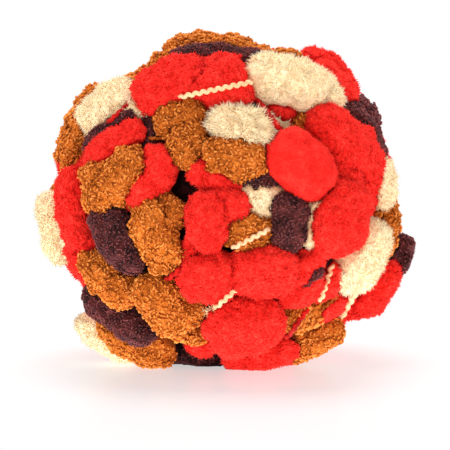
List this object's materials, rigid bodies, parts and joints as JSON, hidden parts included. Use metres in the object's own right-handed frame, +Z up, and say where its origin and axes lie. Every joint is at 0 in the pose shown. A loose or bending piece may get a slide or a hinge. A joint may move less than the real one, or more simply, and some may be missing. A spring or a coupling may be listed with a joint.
{
  "type": "ball of pompom yarn",
  "caption": "Round ball of thick yarn made of plump pompoms on a thin cord, wound in crossing wraps and standing on a small flat spot.",
  "frame": {"origin": "On the surface that the ball stands on, under the middle of the ball's box.", "axes": "+Z up, +X to the right across the ball's widest extent, and the ball's best face towards -Y."},
  "size_m": [0.1717, 0.1678, 0.1517],
  "materials": {
    "red_pile": "short soft pile",
    "caramel_pile": "curly pile",
    "brown_pile": "dense curly pile",
    "cream_pile": "straight fluffy pile"
  },
  "bodies": {
    "root": {"yarn_ball": "red_pile"}
  },
  "joints": []
}
